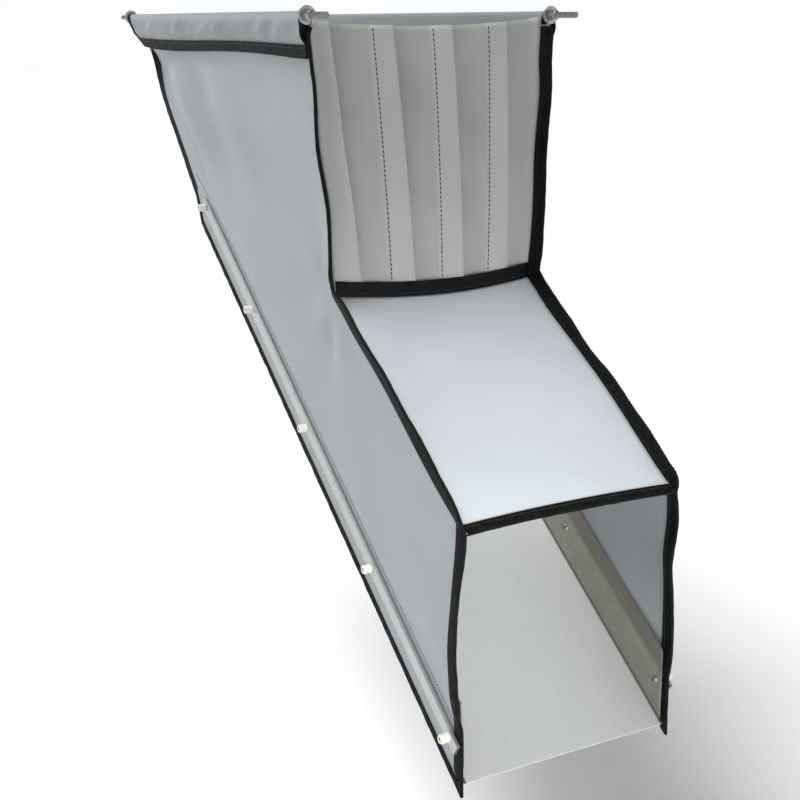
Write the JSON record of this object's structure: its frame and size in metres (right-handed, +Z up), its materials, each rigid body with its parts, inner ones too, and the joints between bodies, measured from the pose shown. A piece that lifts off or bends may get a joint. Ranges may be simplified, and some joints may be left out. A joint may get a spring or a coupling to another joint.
{
  "type": "feed chute with hopper",
  "caption": "Sloping feed chute of coated fabric on a bent steel tray floor, with a pleated fabric hopper hung from two threaded rods.",
  "frame": {"origin": "midway between the two threaded rods, in the plane of the front locknuts' outer faces", "axes": "+Z up as the chute hangs; +Y along the rods from the outlet end to the back; +X to the right seen from the outlet"},
  "size_m": [0.386, 1.3156, 0.9263],
  "materials": {
    "wall_fabric": "semi-gloss coated fabric",
    "roof_fabric": "semi-gloss coated fabric",
    "hopper_fabric": "semi-gloss coated fabric",
    "binding": "woven tape",
    "tray_steel": "smooth mill finish",
    "bar_steel": "mill finish",
    "screw_steel": "turned",
    "nylon": "moulded nylon",
    "zinc_steel": "zinc plated"
  },
  "bodies": {
    "chute": {"floor_tray": "tray_steel", "left_wall": "wall_fabric", "right_wall": "wall_fabric", "roof_panel": "roof_fabric", "hopper_front_panel": "hopper_fabric", "hopper_rear_panel": "hopper_fabric", "left_sleeve": "wall_fabric", "right_sleeve": "wall_fabric", "outlet_top_binding": "binding", "outlet_left_binding": "binding", "outlet_right_binding": "binding", "roof_left_binding": "binding", "roof_right_binding": "binding", "roof_hopper_binding": "binding", "hopper_front_left_binding": "binding", "hopper_front_right_binding": "binding", "hopper_rear_left_binding": "binding", "hopper_rear_right_binding": "binding", "heel_left_binding": "binding", "heel_right_binding": "binding", "hem_left_binding": "binding", "hem_right_binding": "binding", "left_sleeve_binding": "binding", "right_sleeve_binding": "binding", "left_sleeve_front_tape": "binding", "left_sleeve_rear_tape": "binding", "right_sleeve_front_tape": "binding", "right_sleeve_rear_tape": "binding", "left_clamp_bar": "bar_steel", "right_clamp_bar": "bar_steel", "left_clamp_screws": "screw_steel", "right_clamp_screws": "screw_steel", "left_sleeve_nuts": "nylon", "right_sleeve_nuts": "nylon"},
    "left_rod": {"left_rod": "zinc_steel"},
    "right_rod": {"right_rod": "zinc_steel"},
    "left_front_washer": {"left_front_washer": "zinc_steel"},
    "left_front_nuts": {"left_front_nut": "zinc_steel", "left_front_locknut": "zinc_steel"},
    "left_rear_washer": {"left_rear_washer": "zinc_steel"},
    "left_rear_nuts": {"left_rear_nut": "zinc_steel", "left_rear_locknut": "zinc_steel"},
    "right_front_washer": {"right_front_washer": "zinc_steel"},
    "right_front_nuts": {"right_front_nut": "zinc_steel", "right_front_locknut": "zinc_steel"},
    "right_rear_washer": {"right_rear_washer": "zinc_steel"},
    "right_rear_nuts": {"right_rear_nut": "zinc_steel", "right_rear_locknut": "zinc_steel"}
  },
  "joints": [
    {"name": "left_rod_turn", "type": "hinge", "parent": "chute", "child": "left_rod", "pos_m": [-0.181, 0, 0], "axis": [0, 1, 0], "continuous": true},
    {"name": "left_front_washer_slide", "type": "slide", "parent": "left_rod", "child": "left_front_washer", "axis": [0, -1, 0], "range_m": [0, 0.04]},
    {"name": "left_front_nuts_turn", "type": "hinge", "parent": "left_front_washer", "child": "left_front_nuts", "pos_m": [-0.181, 0, 0], "axis": [0, -1, 0], "range_deg": [0, 11520]},
    {"name": "left_rear_washer_slide", "type": "slide", "parent": "left_rod", "child": "left_rear_washer", "axis": [0, 1, 0], "range_m": [0, 0.04]},
    {"name": "left_rear_nuts_turn", "type": "hinge", "parent": "left_rear_washer", "child": "left_rear_nuts", "pos_m": [-0.181, 0, 0], "axis": [0, 1, 0], "range_deg": [0, 11520]},
    {"name": "right_rod_turn", "type": "hinge", "parent": "chute", "child": "right_rod", "pos_m": [0.181, 0, 0], "axis": [0, 1, 0], "continuous": true},
    {"name": "right_front_washer_slide", "type": "slide", "parent": "right_rod", "child": "right_front_washer", "axis": [0, -1, 0], "range_m": [0, 0.04]},
    {"name": "right_front_nuts_turn", "type": "hinge", "parent": "right_front_washer", "child": "right_front_nuts", "pos_m": [0.181, 0, 0], "axis": [0, -1, 0], "range_deg": [0, 11520]},
    {"name": "right_rear_washer_slide", "type": "slide", "parent": "right_rod", "child": "right_rear_washer", "axis": [0, 1, 0], "range_m": [0, 0.04]},
    {"name": "right_rear_nuts_turn", "type": "hinge", "parent": "right_rear_washer", "child": "right_rear_nuts", "pos_m": [0.181, 0, 0], "axis": [0, 1, 0], "range_deg": [0, 11520]}
  ],
  "couplings": [
    {"joint": "left_front_washer_slide", "follows": "left_front_nuts_turn", "m_per_rad": 0.00019894},
    {"joint": "left_rear_washer_slide", "follows": "left_rear_nuts_turn", "m_per_rad": 0.00019894},
    {"joint": "right_front_washer_slide", "follows": "right_front_nuts_turn", "m_per_rad": 0.00019894},
    {"joint": "right_rear_washer_slide", "follows": "right_rear_nuts_turn", "m_per_rad": 0.00019894}
  ]
}
